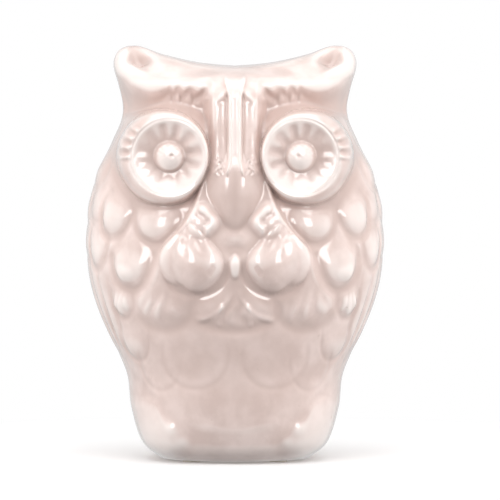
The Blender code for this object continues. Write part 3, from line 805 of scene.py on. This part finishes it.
def glaze_material():
    """Clear glossy glaze over pinkish white ware: darker and warmer where it gathers in the hollows and
    thin and pale on the proud edges, partly as painted shade and highlight, with painted darker and
    paler places too; fine specks; bare chalky ware under the foot and inside."""
    made, nodes, links, shader = new_material("glazed_ceramic_visual")
    ware = ramp(nodes, links, noise(nodes, links, 110, 6), (0.36, 0.64), WARE)
    # The hollows map carries painted shade and highlight as well as the glaze's real gathering in hollows
    # and thinning on edges.
    hollow = attribute(nodes, "crevice")
    pooled_and_shaded = mix(nodes, links, between(nodes, links, hollow, 0.0, 1.0, 0, 0.9), ware, POOLED_GLAZE_AND_SHADE)
    glazed = mix(nodes, links, between(nodes, links, hollow, -0.2, -1.0, 0, 0.8), pooled_and_shaded, THIN_GLAZE_AND_HIGHLIGHT)
    speck = between(nodes, links, noise(nodes, links, 420, 2), 0.735, 0.80, 0, 0.45)
    glazed = mix(nodes, links, speck, glazed, SPECKS)
    chalk = ramp(nodes, links, noise(nodes, links, 260, 6), (0.35, 0.7), BARE_WARE)
    covered = between(nodes, links, attribute(nodes, "glazed"), 0.35, 0.65)
    links.new(mix(nodes, links, covered, chalk, glazed), shader.inputs["Base Color"])
    smooth = between(nodes, links, noise(nodes, links, 90, 3), 0.3, 0.7, 0.10, 0.16)
    rough = nodes.new("ShaderNodeMix")
    links.new(covered, rough.inputs["Factor"])
    rough.inputs["A"].default_value = 0.85
    links.new(smooth, rough.inputs["B"])
    links.new(rough.outputs["Result"], shader.inputs["Roughness"])
    links.new(between(nodes, links, covered, 0, 1, 0, 0.7), shader.inputs["Coat Weight"])
    shader.inputs["Coat Roughness"].default_value = 0.08
    bump = nodes.new("ShaderNodeBump")
    bump.inputs["Strength"].default_value = 0.18
    bump.inputs["Distance"].default_value = 0.0006
    links.new(noise(nodes, links, 160, 2), bump.inputs["Height"])
    links.new(bump.outputs["Normal"], shader.inputs["Normal"])
    return made


def plastic_material():
    made, nodes, links, shader = new_material("soft_plastic_visual")
    colour = ramp(nodes, links, noise(nodes, links, 120), (0.3, 0.7), PLASTIC)
    links.new(colour, shader.inputs["Base Color"])
    shader.inputs["Roughness"].default_value = 0.45
    return made


def felt_material():
    made, nodes, links, shader = new_material("felt_visual")
    colour = ramp(nodes, links, noise(nodes, links, 900, 6), (0.3, 0.7), FELT)
    links.new(colour, shader.inputs["Base Color"])
    shader.inputs["Roughness"].default_value = 0.95
    return made


# Stage

def aim(thing, at):
    """Turns a camera or light to face a point."""
    thing.rotation_euler = (Vector(at) - thing.location).to_track_quat("-Z", "Y").to_euler()


def area_light(name, place, at, size, power):
    """A white rectangle of light that faces a point; metres and watts."""
    data = bpy.data.lights.new(name, "AREA")
    data.shape = "RECTANGLE"
    data.size, data.size_y = size
    data.energy = power
    made = bpy.data.objects.new(name, data)
    made.location = place
    bpy.context.scene.collection.objects.link(made)
    aim(made, at)
    return made


def make_world():
    """White paper behind, over and under the object, and a dim room in front."""
    world = bpy.data.worlds.new("studio")
    bpy.context.scene.world = world
    world.use_nodes = True
    nodes, links = world.node_tree.nodes, world.node_tree.links
    place = nodes.new("ShaderNodeTexCoord")
    split = nodes.new("ShaderNodeSeparateXYZ")
    links.new(place.outputs["Generated"], split.inputs["Vector"])
    lit = between(nodes, links, split.outputs["Z"], -0.1, 0.9, DIM, PAPER_ABOVE)
    for axis, low, high, bright in (("Y", -0.2, 0.7, PAPER_BEHIND), ("Z", -0.1, -0.7, PAPER_BELOW)):
        brighter = nodes.new("ShaderNodeMath")
        brighter.operation = "MAXIMUM"
        links.new(lit, brighter.inputs[0])
        links.new(between(nodes, links, split.outputs[axis], low, high, DIM, bright), brighter.inputs[1])
        lit = brighter.outputs["Value"]
    # The camera sees plain white paper behind the object.
    seen = nodes.new("ShaderNodeLightPath")
    shown = mix(nodes, links, seen.outputs["Is Camera Ray"], lit, (1.0, 1.0, 1.0))
    links.new(shown, nodes["Background"].inputs["Color"])


def floor_material():
    """White paper that takes the soft shadow near the object and turns evenly white away from
    it."""
    made, nodes, links, shader = new_material("pale_floor")
    colour = ramp(nodes, links, noise(nodes, links, 3), (0.3, 0.7), PAPER)
    links.new(colour, shader.inputs["Base Color"])
    shader.inputs["Roughness"].default_value = 0.8
    place = nodes.new("ShaderNodeTexCoord")
    away = nodes.new("ShaderNodeVectorMath")
    away.operation = "LENGTH"
    links.new(place.outputs["Object"], away.inputs[0])
    glow = nodes.new("ShaderNodeEmission")
    blend = nodes.new("ShaderNodeMixShader")
    links.new(between(nodes, links, away.outputs["Value"], 0.09, 0.20), blend.inputs["Fac"])
    links.new(shader.outputs["BSDF"], blend.inputs[1])
    links.new(glow.outputs["Emission"], blend.inputs[2])
    links.new(blend.outputs["Shader"], nodes["Material Output"].inputs["Surface"])
    return made


def make_camera():
    camera = bpy.data.objects.new("camera", bpy.data.cameras.new("camera"))
    camera.location = (0, -CAMERA_DISTANCE, CAMERA_HEIGHT)
    camera.data.sensor_width = SENSOR_WIDTH
    camera.data.lens = SENSOR_WIDTH * CAMERA_DISTANCE / VIEW_WIDTH
    camera.data.shift_x = VIEW_SHIFT
    camera.data.clip_start = 0.01
    bpy.context.scene.collection.objects.link(camera)
    aim(camera, (0, 0, VIEW_HEIGHT))
    bpy.context.scene.camera = camera


def make_stage():
    bpy.ops.mesh.primitive_plane_add(size=6)
    floor = bpy.context.object
    floor.name = "floor"
    floor.data.materials.append(floor_material())
    # The world stands in for the light that the paper throws back, so the floor itself throws none
    # and doesn't show in the glaze.
    floor.visible_diffuse = False
    floor.visible_glossy = False

    make_world()
    area_light("overhead", (0, 0.05, 0.9), (0, 0, 0.1), (0.9, 0.9), 2.3)
    area_light("high_front", (0, -0.64, 0.82), (0, 0, 0.09), (1.3, 0.24), 3.3)
    for side in (-1, 1):
        fills = [area_light("side", (side * 0.78, -0.18, 0.06), (0, 0, 0.05), (0.8, 0.7), 6.0),
                 area_light("front", (side * 0.52, -0.98, 0.37), (0, 0, 0.1), (0.5, 0.5), 2.1)]
        for fill in fills:
            fill.visible_glossy = False
        # The windows are only seen in the glaze; the fills beside them do their lighting.
        window = area_light("window", (side * 0.51, -0.96, 0.41), (0, 0, 0.1), (0.38, 0.58), 4.4)
        window.visible_diffuse = False

    make_camera()
    bpy.context.scene.view_settings.view_transform = "Standard"


def main():
    make_owl()
    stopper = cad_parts["base_stopper"]
    stopper.material_slots[0].material = plastic_material()
    felt = felt_material()
    for name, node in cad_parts.items():
        if name.startswith("felt_pad"):
            node.material_slots[0].material = felt
    make_stage()


main()
